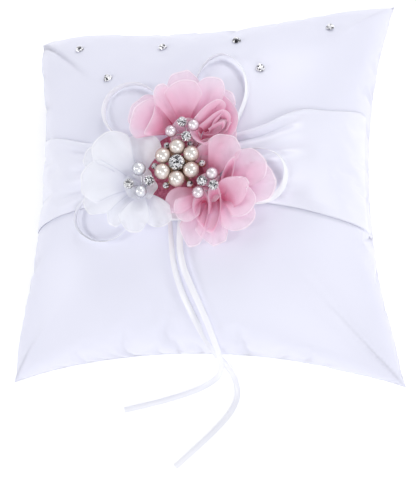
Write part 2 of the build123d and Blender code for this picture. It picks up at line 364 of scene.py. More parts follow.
def chiffon(name, root, middle, tip, hem, crease_shade, sheerness, glow):
    finish = Finish(name, Roughness=0.7, Sheen_Weight=0.35, Sheen_Roughness=0.5)
    tree = finish.tree
    parts = tree.nodes.new("ShaderNodeSeparateXYZ")
    tree.links.new(tree.nodes.new("ShaderNodeTexCoord").outputs["UV"], parts.inputs[0])
    across, along = parts.outputs[0], parts.outputs[1]
    side = math_node(tree, "ABSOLUTE", math_node(tree, "MULTIPLY_ADD", across, 2.0, -1.0))
    corner = math_node(tree, "ADD", side, math_node(tree, "MULTIPLY_ADD", along, 0.2, -0.2))
    hem_mask = math_node(tree, "GREATER_THAN", math_node(tree, "MAXIMUM", corner, along), HEM_START)
    clouds = finish.group(CLOUDS, Scale=90.0, Detail=3.0).outputs["Value"]
    drift = math_node(tree, "MULTIPLY_ADD", clouds, 0.35, math_node(tree, "SUBTRACT", along, 0.175))
    colour = finish.ramp(drift, [(0.05, root), (0.45, middle), (0.9, tip)])
    # painted shade: each side of the petal is darkened near the root, where petals meet in a crease
    near_side = math_node(tree, "POWER", side, CREASE_SHADE_SHARPNESS)
    crease_shade_share = math_node(tree, "MULTIPLY", near_side, math_node(tree, "MULTIPLY_ADD", along, -0.8, 0.95))
    for share, shade in ((crease_shade_share, crease_shade), (hem_mask, hem)):
        mix = tree.nodes.new("ShaderNodeMix")
        mix.data_type = "RGBA"
        tree.links.new(share, mix.inputs[0])
        tree.links.new(colour, mix.inputs[6])
        mix.inputs[7].default_value = (*shade, 1)
        colour = mix.outputs[2]
    finish.feed(colour, "Base Color")
    weave = finish.group(THREADS, Threads=260.0, Float=0.9)
    normal = finish.bump([clouds, weave.outputs["Height"]], 0.15, 0.0002)
    through = tree.nodes.new("ShaderNodeBsdfTranslucent")
    tree.links.new(colour, through.inputs["Color"])
    tree.links.new(normal, through.inputs["Normal"])
    clear = tree.nodes.new("ShaderNodeBsdfTransparent")
    lit, cloth = tree.nodes.new("ShaderNodeMixShader"), tree.nodes.new("ShaderNodeMixShader")
    lit.inputs[0].default_value = glow
    tree.links.new(finish.shader.outputs[0], lit.inputs[1])
    tree.links.new(through.outputs[0], lit.inputs[2])
    thinner = math_node(tree, "MULTIPLY_ADD", math_node(tree, "POWER", along, 2.0), sheerness, 0.04)
    gaps = math_node(tree, "MULTIPLY_ADD", weave.outputs["Gaps"], 0.2, thinner)
    cloth_share = math_node(tree, "MULTIPLY_ADD", hem_mask, -0.8, 1.0)
    open_share = math_node(tree, "MULTIPLY", gaps, cloth_share)
    tree.links.new(open_share, cloth.inputs[0])
    tree.links.new(lit.outputs[0], cloth.inputs[1])
    tree.links.new(clear.outputs[0], cloth.inputs[2])
    tree.links.new(cloth.outputs[0], tree.nodes["Material Output"].inputs["Surface"])
    return finish.material


# the fifth colour of each chiffon is its painted crease shade
PINK_CHIFFON = chiffon("pink_chiffon", (0.80, 0.20, 0.36), (0.96, 0.61, 0.77), (0.98, 0.78, 0.89),
                       (1.0, 0.88, 0.95), (0.62, 0.10, 0.22), 0.16, 0.26)
FOLDED_PINK = chiffon("folded_pink_chiffon", (0.62, 0.05, 0.14), (0.90, 0.40, 0.58), (0.97, 0.68, 0.82),
                      (1.0, 0.88, 0.94), (0.60, 0.08, 0.20), 0.03, 0.12)
WHITE_CHIFFON = chiffon("white_chiffon", (0.88, 0.885, 0.97), (0.95, 0.958, 1.0), (0.955, 0.965, 1.0),
                        (0.98, 0.98, 1.0), (0.42, 0.42, 0.54), 0.12, 0.28)


def felt():
    """Pressed wool fibres under the flowers, in a deeper pink."""
    finish = Finish("felt_backing", Roughness=0.95, Sheen_Weight=0.5)
    clouds = finish.group(CLOUDS, Scale=900.0, Detail=5.0).outputs["Value"]
    finish.feed(finish.ramp(clouds, [(0.3, (0.42, 0.06, 0.14)), (0.7, (0.72, 0.22, 0.33))]), "Base Color")
    finish.bump([clouds], 0.5, 0.0004)
    return finish.material


FELT = felt()

# %% [markdown]
# ## Beads, stones and metal
#
# A pearl is a hard, smooth bead under a clear skin, so it is a soft-toned base with a
# glossy coat, and a painted shade darkens its colour towards the rim, where it is seen at a
# slant.  A cut stone throws back bright and dark patches; here they are painted reflections,
# facets with their own tones on a mirror-like surface.

# %% Hard finishes
# edge is the colour of the painted rim shade; light and dark are the pearl's own tones
def pearl(name, light, dark, edge):
    finish = Finish(name, Metallic=0.35, IOR=1.55, Coat_Weight=1.0, Coat_Roughness=0.06)
    clouds = finish.group(CLOUDS, Scale=160.0).outputs["Value"]
    facing = finish.tree.nodes.new("ShaderNodeLayerWeight").outputs["Facing"]
    tone_and_rim_shade = math_node(finish.tree, "MULTIPLY_ADD", clouds, 0.3, 0.65)
    # painted shade: the colour is darkened towards the rim as the surface turns away from the camera
    tone_and_rim_shade = math_node(finish.tree, "MULTIPLY_ADD", facing, -1.2, tone_and_rim_shade)
    finish.feed(finish.ramp(tone_and_rim_shade, [(0.12, edge), (0.45, dark), (0.75, light)]), "Base Color")
    finish.feed(finish.spread(clouds, 0.16, 0.3), "Roughness")
    finish.bump([clouds], 0.05, 0.0001)
    return finish.material


def cut_stone(name, scale, metallic):
    finish = Finish(name, IOR=1.9, Metallic=metallic, Coat_Weight=1.0, Coat_Roughness=0.03)
    facets = finish.group(FACETS, Scale=scale)
    # painted reflection: near-black and white facet colours stand in for the dark and bright things the
    # stone mirrors
    painted_reflection_tones = [(0.0, (0.010, 0.010, 0.014)), (0.26, (0.10, 0.10, 0.12)), (0.36, (0.80, 0.80, 0.84)),
             (0.5, (1.0, 1.0, 1.0))]
    finish.feed(finish.ramp(facets.outputs["Tone"], painted_reflection_tones, steady=True), "Base Color")
    finish.feed(finish.spread(facets.outputs["Tone"], 0.05, 0.16), "Roughness")
    finish.bump([facets.outputs["Height"]], 0.6, 0.0003)
    return finish.material


def metal(name, bright, dull):
    finish = Finish(name, Metallic=1.0)
    clouds = finish.group(CLOUDS, Scale=500.0, Detail=4.0).outputs["Value"]
    finish.feed(finish.ramp(clouds, [(0.3, dull), (0.7, bright)]), "Base Color")
    finish.feed(finish.spread(clouds, 0.2, 0.42), "Roughness")
    finish.bump([clouds], 0.15, 0.0001)
    return finish.material


# the third colour of each pearl is its painted rim shade
FLOWER_PEARL = pearl("flower_pearl", (0.90, 0.82, 0.86), (0.80, 0.64, 0.71), (0.46, 0.27, 0.33))
BROOCH_PEARL = pearl("brooch_pearl", (0.90, 0.85, 0.80), (0.80, 0.69, 0.62), (0.48, 0.33, 0.28))
FLOWER_WHITE_PEARL = pearl("white_flower_pearl", (0.90, 0.90, 0.94), (0.76, 0.77, 0.82), (0.42, 0.42, 0.47))
LOOSE_STONE = cut_stone("crystal", 1150.0, 0.3)
PAVE_STONE = cut_stone("pave_crystal", 1500.0, 0.25)
SILVER = metal("silver_wire", (0.86, 0.86, 0.88), (0.62, 0.62, 0.66))
DARK_SILVER = metal("dark_silver", (0.26, 0.25, 0.27), (0.10, 0.10, 0.11))
GOLD = metal("gold_metal", (0.78, 0.50, 0.30), (0.42, 0.24, 0.15))
print("materials:", len(bpy.data.materials))

# %% [markdown]
# ## The shape of the stuffed pillow
#
# Before any cloth moves, the bag needs a good guess of its stuffed shape.  Each point of a
# square panel goes from its place on the flat cut, u and v from -1 to 1, to a place on a
# crowned form: the middles of the sides pull in, the corners stay out as ears, and the
# height dies away to nothing at the seam.  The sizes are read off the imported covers.

# %% Stuffed shape
top_low, top_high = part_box("cover_top")
TIP_HALF = top_high.x
SEAM_Z = top_low.z
CROWN_REACHED = 0.985          # how much of the crown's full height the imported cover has
CROWN = (top_high.z - SEAM_Z) / CROWN_REACHED
SIDE_PULL = 0.015              # how far the middle of a side pulls in
BELLY = 0.030                  # how far the lower panel would hang under the seam
FULLNESS = 0.43                # lower is boxier
# how far each ear's tip strays from the square: sign of x and y, then x, y, z
EAR_STRAYS = {(-1, 1): (-0.002, -0.0025, -0.010), (1, 1): (0.001, 0.001, -0.006),
              (1, -1): (0.0, 0.0, -0.008), (-1, -1): (0.0, 0.0, -0.006)}


def stuffed_points(u, v, side):
    """Places on the upper (side 1) or lower (side -1) panel for arrays of u and v."""
    fall = np.clip((1 - u ** 2) * (1 - v ** 2), 0, 1)
    x = u * (TIP_HALF - SIDE_PULL * (1 - v ** 2))
    y = v * (TIP_HALF - SIDE_PULL * (1 - u ** 2))
    height = fall ** FULLNESS
    z = SEAM_Z + CROWN * height if side > 0 else SEAM_Z - BELLY * height
    for (sx, sy), (dx, dy, dz) in EAR_STRAYS.items():
        near = np.clip(u * sx, 0, 1) ** 4 * np.clip(v * sy, 0, 1) ** 4
        x, y, z = x + dx * near, y + dy * near, z + dz * near
    return np.stack([x, y, z], -1)


def flattened(z, table=0.0, softness=0.003):
    """Height pressed smoothly up to the table, so the lower panel rests on it."""
    over = z - table
    return table + (over + np.sqrt(over ** 2 + softness ** 2)) / 2


print("seam at", round(SEAM_Z, 4), "crown", round(CROWN, 4))

# %% [markdown]
# ## Sewing and stuffing the cover
#
# A stuffed panel could be sculpted, but the small puckers along a seam come from one fact
# that cloth simulation knows by itself: the flat cut is longer than the seam line that it is
# gathered on to.  So the panel starts as the flat cut, its edge is drawn in to the seam over
# a few frames, and air pressure plays the filling.  The solver behaves best at about a
# metre, so the panel is ten times life size in it.  Air alone leaves the crown too low, so
# the slow part of what is missing is added back, and the small folds stay as they fell.

# %% Helpers for meshes
SIM_SCALE = 10.0


def deselect():
    bpy.ops.object.select_all(action="DESELECT")


def activate(piece):
    deselect()
    piece.select_set(True)
    bpy.context.view_layer.objects.active = piece


def apply_modifier(piece, modifier):
    activate(piece)
    bpy.ops.object.modifier_apply(modifier=modifier.name)


def read_points(piece):
    points = np.zeros(len(piece.data.vertices) * 3)
    piece.data.vertices.foreach_get("co", points)
    return points.reshape(-1, 3)


def write_points(piece, points):
    piece.data.vertices.foreach_set("co", np.ascontiguousarray(points, float).ravel())
    piece.data.update()


def square_grid(name, steps_x, steps_y):
    """A grid from -1 to 1 each way, the flat pattern of a panel, with its own map."""
    deselect()
    bpy.ops.mesh.primitive_grid_add(x_subdivisions=steps_x, y_subdivisions=steps_y, size=2)
    piece = bpy.context.object
    piece.name = name
    piece.data.name = name
    return piece


def smooth(piece):
    activate(piece)
    bpy.ops.object.shade_smooth()


def joined(name, parts):
    """Several meshes made one piece."""
    activate(parts[0])
    for part in parts[1:]:
        part.select_set(True)
    if len(parts) > 1:
        bpy.ops.object.join()
    parts[0].name = parts[0].data.name = name
    return parts[0]


def thickened(piece, thickness, offset=-1.0):
    wall = piece.modifiers.new("cloth_thickness", "SOLIDIFY")
    wall.thickness = thickness
    wall.offset = offset
    apply_modifier(piece, wall)
    return piece


def dressed(piece, material, slot, *replaced):
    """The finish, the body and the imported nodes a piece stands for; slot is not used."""
    if material:
        piece.data.materials.clear()
        piece.data.materials.append(material)
    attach(piece, "root")
    if replaced:
        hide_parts(*replaced)
    return piece


def eased_step(low, high, value):
    share = np.clip((value - low) / (high - low), 0, 1)
    return share * share * (3 - 2 * share)


def face_area(piece):
    return sum(polygon.area for polygon in piece.data.polygons)


# %% One stuffed panel
PANEL_STEPS = 90
CUT_HALF = 0.107
FOLD_SIZE = 0.010              # folds smaller than this are kept from the blown cloth
START_BULGE = 0.004            # a flat panel would not know which way to blow
GATHER_FRAMES, STUFFING_FRAMES = 12, 40


def eased(s, t):
    """Even spacing along the seam, and spacing that follows the crown in the middle."""
    share = np.sqrt(np.clip(1 - t ** 2, 0, 1))
    return s * (1 - share) + np.sin(s * math.pi / 2) * share


def step_cloth(piece, frames, pressure):
    """Run the cloth on a piece whose rim follows its shape key; its last points, life size."""
    cloth = piece.modifiers.new("cloth", "CLOTH")
    settings = cloth.settings
    settings.quality = 8
    settings.mass = 0.05
    settings.tension_stiffness = settings.compression_stiffness = 40
    settings.shear_stiffness = 12
    settings.bending_stiffness = 0.5
    settings.tension_damping = settings.compression_damping = 5
    settings.shear_damping = 5
    settings.air_damping = 1.0
    settings.vertex_group_mass = "seam"
    settings.use_pressure = True
    settings.uniform_pressure_force = pressure
    settings.effector_weights.gravity = 0.0
    cloth.point_cache.frame_start, cloth.point_cache.frame_end = 1, frames
    scene = bpy.context.scene
    scene.frame_start, scene.frame_end = 1, frames
    for number in range(1, frames + 1):
        scene.frame_set(number)
    evaluated = piece.evaluated_get(bpy.context.evaluated_depsgraph_get())
    moved = np.zeros(len(piece.data.vertices) * 3)
    evaluated.data.vertices.foreach_get("co", moved)
    scene.frame_set(1)
    piece.modifiers.remove(cloth)
    return moved.reshape(-1, 3) / SIM_SCALE


def blurred(field, sigma):
    """A grid of values blurred both ways, keeping what is nought at the rim at nought."""
    reach = int(sigma * 3)
    steps = np.arange(-reach, reach + 1)
    kernel = np.exp(-0.5 * (steps / sigma) ** 2)
    kernel /= kernel.sum()
    for axis in (0, 1):
        moved = np.moveaxis(field, axis, 0)
        wide = np.concatenate([2 * moved[:1] - moved[reach:0:-1], moved,
                               2 * moved[-1:] - moved[-2:-reach - 2:-1]])
        moved = sum(kernel[i] * wide[i:i + len(moved)] for i in range(len(kernel)))
        field = np.moveaxis(moved, 0, axis)
    return field


def stuffed_panel(name, side, steps, pressure):
    piece = square_grid(name, steps, steps)
    flat = read_points(piece)
    s, t = flat[:, 0], flat[:, 1]
    stuffed = stuffed_points(eased(s, t), eased(t, s), side)
    if pressure:
        rise = START_BULGE * side * (1 - s ** 2) * (1 - t ** 2)
        write_points(piece, np.stack([s * CUT_HALF, t * CUT_HALF, SEAM_Z + rise], -1) * SIM_SCALE)
        rim = piece.vertex_groups.new(name="seam")
        edge = np.maximum(abs(s), abs(t)) > 0.9999
        rim.add([int(i) for i in np.nonzero(edge)[0]], 1.0, "REPLACE")
        piece.shape_key_add(name="flat_cut")
        gathered = piece.shape_key_add(name="gathered")
        gathered.data.foreach_set("co", (stuffed * SIM_SCALE).ravel())
        for number in range(1, STUFFING_FRAMES + 1):
            gathered.value = min(1.0, (number - 1) / GATHER_FRAMES)
            gathered.keyframe_insert("value", frame=number)
        blown = step_cloth(piece, STUFFING_FRAMES, pressure * side)
        piece.shape_key_clear()
        order = np.lexsort((s, t))
        missing = (stuffed - blown)[order].reshape(steps + 1, steps + 1, 3)
        restored = np.zeros_like(stuffed)
        restored[order] = blurred(missing, FOLD_SIZE / (2 * CUT_HALF / steps)).reshape(-1, 3)
        print(name, "blown top", round(float(blown[:, 2].max()), 4),
              "restored most", round(float(np.linalg.norm(restored, axis=1).max()), 4))
        stuffed = blown + restored
    write_points(piece, stuffed)
    smooth(piece)
    return piece


# %% The upper and lower covers
SATIN_THICKNESS = 0.0005
STUFFING_PRESSURE = 5.0
LOWER_STEPS = 64
PUCKER_HEIGHT, PUCKER_TURNS = 0.0009, 900       # the lower panel's puckers, in metres and radians a metre
STONE_PULL = (0.003, 0.016)    # the cloth moves fully inside the first radius, and not outside the second
STONE_BED = 0.0003
RAY_START = 0.2                # a height well above everything


def seam_distance(points):
    """How far each point of a panel is from the nearer side, from 0 at the seam to 1."""
    return 1 - np.maximum(abs(points[:, 0]), abs(points[:, 1])) / TIP_HALF


def make_covers():
    """The upper panel is blown as cloth; the lower one is shaped here, puckered and set down."""
    top = stuffed_panel("pillow_cover_top", 1, PANEL_STEPS, STUFFING_PRESSURE)
    bottom = stuffed_panel("pillow_cover_bottom", -1, LOWER_STEPS, 0.0)
    points = read_points(bottom)
    gather = np.sin(points[:, 0] * PUCKER_TURNS) * np.sin(points[:, 1] * PUCKER_TURNS + 1.0)
    fade = np.exp(-seam_distance(points) / 0.09) * np.clip(seam_distance(points) / 0.03, 0, 1)
    points[:, 2] -= PUCKER_HEIGHT * gather * fade
    points[:, 2] = np.where(points[:, 2] < 0.012, flattened(points[:, 2]), points[:, 2])
    write_points(bottom, points)
    activate(bottom)
    bpy.ops.object.mode_set(mode="EDIT")
    bpy.ops.mesh.select_all(action="SELECT")
    bpy.ops.mesh.flip_normals()
    bpy.ops.object.mode_set(mode="OBJECT")
    return top, bottom


def surface_tree(piece):
    """A piece's faces, sorted so that a ray finds the first one quickly."""
    return BVHTree.FromPolygons([v.co for v in piece.data.vertices],
                                [tuple(f.vertices) for f in piece.data.polygons])


def pulled_to_stones(cover):
    """The cloth is drawn to the back of each loose stone, over a thumb's width round it."""
    packed_tree, blown_tree = surface_tree(nodes["cover_top"]), surface_tree(cover)
    points = read_points(cover)
    for number in range(1, 7):
        low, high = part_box(f"rhinestone_{number}")
        above = Vector(((low.x + high.x) / 2, (low.y + high.y) / 2, RAY_START))
        wanted, found = (tree.ray_cast(above, Vector((0, 0, -1)))[0] for tree in (packed_tree, blown_tree))
        away = np.hypot(points[:, 0] - above.x, points[:, 1] - above.y)
        near = (1 - eased_step(*STONE_PULL, away)) * (points[:, 2] > SEAM_Z + 0.004)
        points[:, 2] += (wanted.z - found.z - STONE_BED) * near
    write_points(cover, points)


cover_top, cover_bottom = make_covers()
pulled_to_stones(cover_top)
cover_tree = surface_tree(cover_top)


def cover_height(x, y):
    """Height of the upper cover over a place, or of the seam where there is none."""
    hit = cover_tree.ray_cast(Vector((x, y, RAY_START)), Vector((0, 0, -1)))
    return hit[0].z if hit[0] else SEAM_Z


print("crown of the cover", round(float(read_points(cover_top)[:, 2].max()), 4))

for piece, node in ((cover_top, "cover_top"), (cover_bottom, "cover_bottom")):
    thickened(piece, SATIN_THICKNESS)
    dressed(piece, COVER_SATIN, "cover_satin", node)

# %% [markdown]
# ## Filling
#
# The filling is a pad of fibre that takes the bag's shape from inside.  It is the two stuffed
# panels again, a little smaller, sewn together into one closed form.

# %% Filling
FILLING_STEPS = 36
FILLING_WIDTH, FILLING_HEIGHT = 0.965, 0.95       # shares of the bag's own size
FILLING_CLEARANCE = 0.0015


def make_filling():
    halves = []
    for side in (1, -1):
        half = square_grid("filling_half", FILLING_STEPS, FILLING_STEPS)
        flat = read_points(half)
        s, t = flat[:, 0], flat[:, 1]
        points = stuffed_points(eased(s, t), eased(t, s), side)
        points[:, :2] *= FILLING_WIDTH
        points[:, 2] = SEAM_Z + (points[:, 2] - SEAM_Z) * FILLING_HEIGHT
        pressed = flattened(points[:, 2], FILLING_CLEARANCE)
        points[:, 2] = np.where(points[:, 2] < SEAM_Z * 0.5, pressed, points[:, 2])
        write_points(half, points)
        halves.append(half)
    pad = joined("pillow_filling", halves)
    activate(pad)
    bpy.ops.object.mode_set(mode="EDIT")
    bpy.ops.mesh.select_all(action="SELECT")
    bpy.ops.mesh.remove_doubles(threshold=0.00005)
    bpy.ops.mesh.normals_make_consistent(inside=False)
    bpy.ops.object.mode_set(mode="OBJECT")
    smooth(pad)
    return pad


filling = dressed(make_filling(), FILLING_FIBRE, "polyester_fill", "filling")
print("filling points:", len(filling.data.vertices))

# %% [markdown]
# ## Sash
#
# The sash is one length of glossy satin laid across the cover and sewn into both side seams.
# It is gathered in the middle, under the flowers, so pleats fan out from there and die away
# towards the seams.  Each point of a flat grid is given a place between the two edges, and
# then lies on the cover at the height of its pleat.

# %% Sash
SASH_LIFT, SASH_THICKNESS = 0.0006, 0.0004
SASH_HALF = 0.087              # where the sash goes down into a side seam
# each edge from the left seam to the right: x, y in millimetres
SASH_UPPER = [(-87, 25), (-70, 21), (-52, 14), (-34, 9), (-12, 8), (10, 9), (28, 12.5), (38, 16),
              (47, 22.5), (57, 27), (68, 26.5), (86, 31)]
SASH_LOWER = [(-87, -26), (-73, -22.8), (-55, -20.3), (-34, -17.5), (-12, -16), (10, -17), (28, -19.5),
              (38, -21), (54, -23), (71.5, -26.5), (86, -29.5)]
# pleats as valleys: place across (0 lower edge, 1 upper edge), start x, end x, depth, width
SASH_PLEATS = [(0.86, 44, 60, 3.0, 0.07), (0.60, 44, 64, 3.0, 0.10), (0.12, 46, 62, 2.8, 0.11),
               (0.36, 34, 50, 2.0, 0.06), (0.26, -56, -76, 2.8, 0.11), (0.84, -54, -74, 2.6, 0.10),
               (0.54, -46, -66, 2.2, 0.07)]


def edge_line(points, x):
    places = np.array(points, float) * MM
    return np.interp(x, places[:, 0], places[:, 1])


def softened(values, rounds):
    """A line of values with its corners rounded off."""
    for _ in range(rounds):
        values = np.concatenate([values[:1], (values[:-2] + 2 * values[1:-1] + values[2:]) / 4, values[-1:]])
    return values


def make_sash():
    across_steps, along_steps = 56, 150
    sash = square_grid("satin_sash_band", along_steps, across_steps)
    flat = read_points(sash)
    order = np.lexsort((flat[:, 0], flat[:, 1]))
    line = np.linspace(-SASH_HALF, SASH_HALF, along_steps + 1)
    upper = softened(edge_line(SASH_UPPER, line), 14)
    lower = softened(edge_line(SASH_LOWER, line), 14)
    points = np.zeros_like(flat)
    for row in range(across_steps + 1):
        share = row / across_steps
        y = lower + (upper - lower) * share
        reach = (TIP_HALF - SIDE_PULL * (1 - (y / TIP_HALF) ** 2)) / SASH_HALF
        x = line * np.where(abs(line) > 0.06, 1 + (reach - 1) * eased_step(0.06, SASH_HALF, abs(line)), 1)
        pleat = np.zeros_like(x)
        for place, start, end, depth, width in SASH_PLEATS:
            sign = 1 if end > 0 else -1
            away = eased_step(abs(start) * MM, abs(end) * MM, x * sign)
            drawn = np.exp(-((share - place) / (width * (0.7 + 0.7 * away))) ** 2)
            pleat += np.where(x * sign > 0, depth * MM * drawn * (1 - away), 0)
        hug = min(1.0, share / 0.10, (1 - share) / 0.06)
        puff = 0.0026 * eased_step(0.014, 0.030, abs(x)) * (1 - eased_step(0.044, 0.074, abs(x)))
        fold = 0.0012 * np.exp(-((share - 0.97) / 0.025) ** 2) * eased_step(0.02, 0.035, x)
        fold = fold * (1 - eased_step(0.045, 0.06, x))
        ground = np.array([cover_height(*place) for place in zip(x, y)])
        ground = np.where(abs(line) > 0.0855, np.minimum(ground, SEAM_Z + 0.001), ground)
        z = ground + SASH_LIFT + hug * np.maximum(puff + 0.0006 - pleat, -0.0003) + fold
        points[order[row * (along_steps + 1):(row + 1) * (along_steps + 1)]] = np.stack([x, y, z], -1)
    write_points(sash, points)
    softener = sash.modifiers.new("soft_creases", "SMOOTH")
    softener.factor, softener.iterations = 0.4, 3
    apply_modifier(sash, softener)
    smooth(sash)
    return sash


sash = make_sash()
thickened(sash, SASH_THICKNESS, 1.0)
dressed(sash, SASH_SATIN, "sash_satin", "satin_sash")

# %% [markdown]
# ## Petals
#
# Each flower is a ring of chiffon petals, gathered at the root and free at the rim.  A petal
# starts as a flat grid.  It is given a length and a half width, an outline from a fan to a
# pointed oval, a backbone that rises from the root and then leans over, and a wrap, which
# rolls its two sides up into a cone.  Small waves along the rim come last.  Other layers
# stand in a fold, and are drawn by the line of their rim.  One packed petal often stands
# for two or three layers of cloth, as on the real flower.

# %% One layer of a petal
PETAL_STEPS, SPINE_STEPS = (34, 26), 60


def petal_layer(root, heading, length, half_width, rise=(40, 0), wrap=(30, 10), lean=0.0, tip=0.0,
                wave=(1.0, 2.5, 0.0)):
    """One open layer.  Heading, rise, wrap and lean in degrees; root and sizes in millimetres.

    Rise and wrap give the value at the root and at the rim.  Tip goes from 0 for a fan to 1
    for a pointed oval.  Wave holds a height, a number of half turns and where they start.
    """
    layer = square_grid("petal_layer", *PETAL_STEPS)
    flat = read_points(layer)
    across, along = flat[:, 0], (flat[:, 1] + 1) / 2
    spine = np.zeros((SPINE_STEPS + 1, 2))
    share = np.linspace(0, 1, SPINE_STEPS + 1)
    slope = np.radians(rise[0] + (rise[1] - rise[0]) * share ** 1.3)
    spine[1:, 0] = np.cumsum(np.cos(slope[:-1])) / SPINE_STEPS
    spine[1:, 1] = np.cumsum(np.sin(slope[:-1])) / SPINE_STEPS
    run = along * (1 - (0.34 - 0.26 * tip) * abs(across) ** 2.6 * along)
    out = np.interp(run, share, spine[:, 0]) * length
    up = np.interp(run, share, spine[:, 1]) * length
    bend = np.interp(run, share, slope)
    fan = (0.14 + 0.86 * along ** 0.85) * (1 - 0.14 * along ** 5)
    oval = 0.10 + 0.90 * np.sin(math.pi * np.clip(along, 0, 1) ** 0.8) ** 0.75
    width = half_width * (fan * (1 - tip) + oval * tip)
    angle = np.radians(wrap[0] + (wrap[1] - wrap[0]) * along)
    angle = np.where(abs(angle) < 0.02, 0.02, angle)
    radius = width / (angle / 2)
    beta = across * angle / 2
    side, lift = radius * np.sin(beta), radius * (1 - np.cos(beta))
    amount, count, phase = wave
    ripple = amount * along ** 1.6 * np.sin(math.pi * count * across + phase)
    lift = lift + ripple * (0.4 + 0.6 * abs(across))
    side = side + 0.25 * amount * along ** 2 * np.cos(math.pi * count * across + phase)
    # slow uneven swells that differ with the heading, so no two layers are alike
    course = math.radians(heading)
    lift = lift + 0.4 * along * np.sin(5.3 * across + 8.0 * along + course)
    side = side + 0.3 * along * np.sin(3.0 * across + 6.1 * along + course)
    tilt = math.radians(lean)
    side, lift = side * math.cos(tilt) - lift * math.sin(tilt), side * math.sin(tilt) + lift * math.cos(tilt)
    ahead = np.array([math.cos(course), math.sin(course)])
    left = np.array([-math.sin(course), math.cos(course)])
    horizontal = out - lift * np.sin(bend)
    points = np.zeros_like(flat)
    points[:, 0] = root[0] + ahead[0] * horizontal - left[0] * side
    points[:, 1] = root[1] + ahead[1] * horizontal - left[1] * side
    points[:, 2] = root[2] + up + lift * np.cos(bend)
    write_points(layer, points * MM)
    return layer


def rounded(points, rounds=3):
    """A line of points with its corners cut away again and again."""
    points = np.array(points, float)
    for _ in range(rounds):
        near, far = points[:-1] * 0.75 + points[1:] * 0.25, points[:-1] * 0.25 + points[1:] * 0.75
        middle = np.stack([near, far], 1).reshape(-1, points.shape[1])
        points = np.concatenate([points[:1], middle, points[-1:]])
    return points


def folded_layer(rim, root, foot=0.3, flare=0.6, steps=16):
    """Cloth standing in a fold: its rim follows a line of (x, y, z), its foot draws in to the root."""
    line = rounded(rim)
    layer = square_grid("petal_layer", len(line) - 1, steps)
    flat = read_points(layer)
    order = np.lexsort((flat[:, 0], flat[:, 1]))
    root = np.array(root, float)
    base = root + (line - root) * np.array([foot, foot, 0.0])
    outward = line - line.mean(0)
    outward[:, 2] = 0
    outward /= np.maximum(np.linalg.norm(outward, axis=1), 0.5)[:, None]
    points = np.zeros_like(flat)
    for row in range(steps + 1):
        share = row / steps
        plan = base + (line - base) * share ** 0.75
        plan[:, 2] = root[2] + (line[:, 2] - root[2]) * share ** 1.15
        places = plan + outward * flare * eased_step(0.6, 1.0, share)
        points[order[row * len(line):(row + 1) * len(line)]] = places
    write_points(layer, points * MM)
    return layer


def make_petal(node, layers, material, slot):
    """All layers of one packed petal, joined and smoothed."""
    parts = []
    for layer in layers:
        folded = "rim" in layer
        parts.append(folded_layer(**layer) if folded else petal_layer(**layer))
        parts[-1].data.materials.append(FOLDED_PINK if folded else material)
    petal = joined(node + "_cloth", parts)
    smooth(petal)
    area = face_area(petal)
    dressed(petal, None, slot, node)
    return area


# %% [markdown]
# ## Pink flower at the top
#
# Seen from the front it has a folded petal on the left, whose lower side curls over a deep
# hollow, a broad smooth fan in the middle, a paler petal behind it, and on the right a
# rosette of nested rolls.

